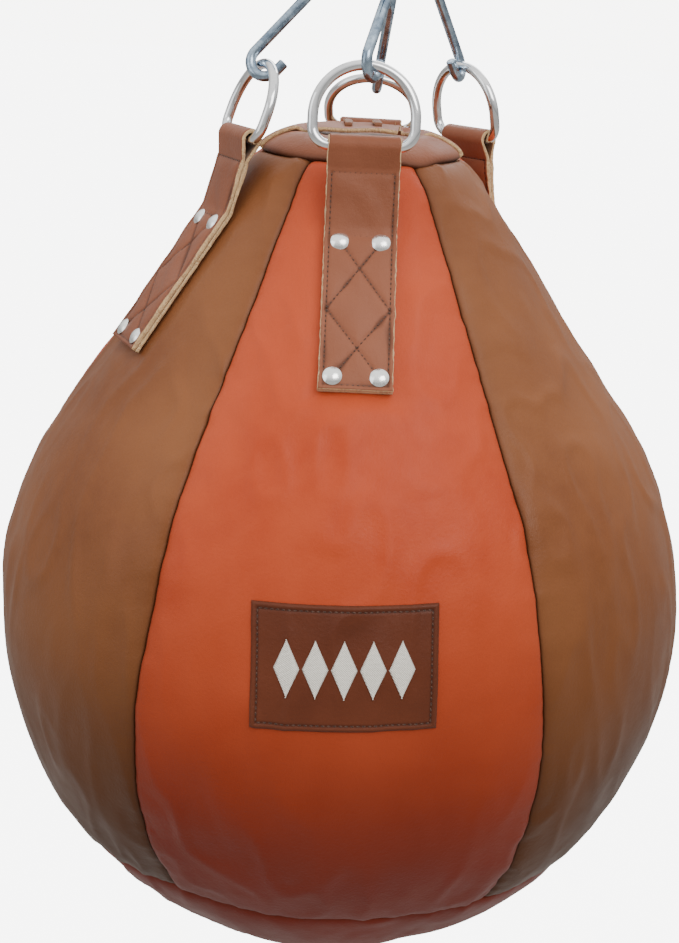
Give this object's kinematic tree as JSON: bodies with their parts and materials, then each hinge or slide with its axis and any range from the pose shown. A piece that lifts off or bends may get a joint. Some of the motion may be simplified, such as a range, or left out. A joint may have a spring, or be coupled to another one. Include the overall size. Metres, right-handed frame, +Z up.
{
  "type": "heavy punching bag",
  "caption": "Pear-shaped heavy punching bag of orange and brown leather gores with a crown collar, riveted hanging straps, chrome D-rings and zinc S-hooks.",
  "frame": {"origin": "hang point on the bag axis, level with the top bends of the S-hooks", "axes": "+Z up along the bag axis, -Y towards the front gore with the label patch"},
  "size_m": [0.5, 0.5015, 0.7066],
  "materials": {
    "leather_orange": "smooth orange-tan grain leather with a soft satin sheen",
    "leather_brown": "smooth mid-brown grain leather with a soft satin sheen",
    "leather_strap": "heavy brown leather with raw cream cut edges and sewn rows",
    "leather_raw": "undyed leather",
    "leather_lace": "thin brown leather thong",
    "lining_canvas": "plain woven canvas",
    "rag_filling": "packed textile rags",
    "rivet_nickel": "bright nickel-plated domed rivets",
    "washer_steel": "plain steel washers",
    "ring_chrome": "polished chrome-plated welded wire",
    "hook_zinc": "blue-white zinc-plated bent rod"
  },
  "bodies": {
    "bag": {"bottom_cap": "leather_orange", "closing_flap": "leather_brown", "closing_lace": "leather_lace", "crown_collar": "leather_brown", "filling": "rag_filling", "gore_back": "leather_brown", "gore_back_left": "leather_orange", "gore_back_right": "leather_orange", "gore_front": "leather_orange", "gore_front_left": "leather_brown", "gore_front_right": "leather_brown", "label_patch": "leather_brown", "lining": "lining_canvas", "mouth_disc": "leather_brown", "rivet_washers_back": "washer_steel", "rivet_washers_front": "washer_steel", "rivet_washers_left": "washer_steel", "rivet_washers_right": "washer_steel", "rivets_back": "rivet_nickel", "rivets_front": "rivet_nickel", "rivets_left": "rivet_nickel", "rivets_right": "rivet_nickel", "strap_back": "leather_strap", "strap_backing_back": "leather_raw", "strap_backing_front": "leather_raw", "strap_backing_left": "leather_raw", "strap_backing_right": "leather_raw", "strap_front": "leather_strap", "strap_left": "leather_strap", "strap_right": "leather_strap"},
    "ring_front": {"d_ring_front": "ring_chrome"},
    "hook_front": {"s_hook_front": "hook_zinc"},
    "ring_right": {"d_ring_right": "ring_chrome"},
    "hook_right": {"s_hook_right": "hook_zinc"},
    "ring_back": {"d_ring_back": "ring_chrome"},
    "hook_back": {"s_hook_back": "hook_zinc"},
    "ring_left": {"d_ring_left": "ring_chrome"},
    "hook_left": {"s_hook_left": "hook_zinc"}
  },
  "joints": [
    {"name": "ring_hinge_front", "type": "hinge", "parent": "bag", "child": "ring_front", "pos_m": [-0.001, -0.09514, -0.114], "axis": [1, 0, 0], "range_deg": [-33, 152]},
    {"name": "hook_hinge_front", "type": "hinge", "parent": "ring_front", "child": "hook_front", "pos_m": [0.00241, -0.08468, -0.06478], "axis": [-0.9945, 0.0217, 0.1022], "range_deg": [-90, 60]},
    {"name": "ring_hinge_right", "type": "hinge", "parent": "bag", "child": "ring_right", "pos_m": [0.07802, 0.05707, -0.11728], "axis": [-0.5736, 0.8192, 0], "range_deg": [-14, 151]},
    {"name": "hook_hinge_right", "type": "hinge", "parent": "ring_right", "child": "hook_right", "pos_m": [0.06726, 0.05577, -0.0681], "axis": [0.5421, -0.8262, 0.1536], "range_deg": [-90, 28]},
    {"name": "ring_hinge_back", "type": "hinge", "parent": "bag", "child": "ring_back", "pos_m": [0.00943, 0.09628, -0.11778], "axis": [-0.9962, 0.0872, 0], "range_deg": [-3, 163]},
    {"name": "hook_hinge_back", "type": "hinge", "parent": "ring_back", "child": "hook_back", "pos_m": [0.01108, 0.06308, -0.0799], "axis": [0.9945, 0.0047, -0.105], "range_deg": [-90, 60]},
    {"name": "ring_hinge_left", "type": "hinge", "parent": "bag", "child": "ring_left", "pos_m": [-0.08249, -0.03673, -0.11675], "axis": [0.4067, -0.9135, 0], "range_deg": [-25, 160]},
    {"name": "hook_hinge_left", "type": "hinge", "parent": "ring_left", "child": "hook_left", "pos_m": [-0.06791, -0.02713, -0.06941], "axis": [-0.4324, 0.8979, -0.0819], "range_deg": [-90, 60]}
  ]
}
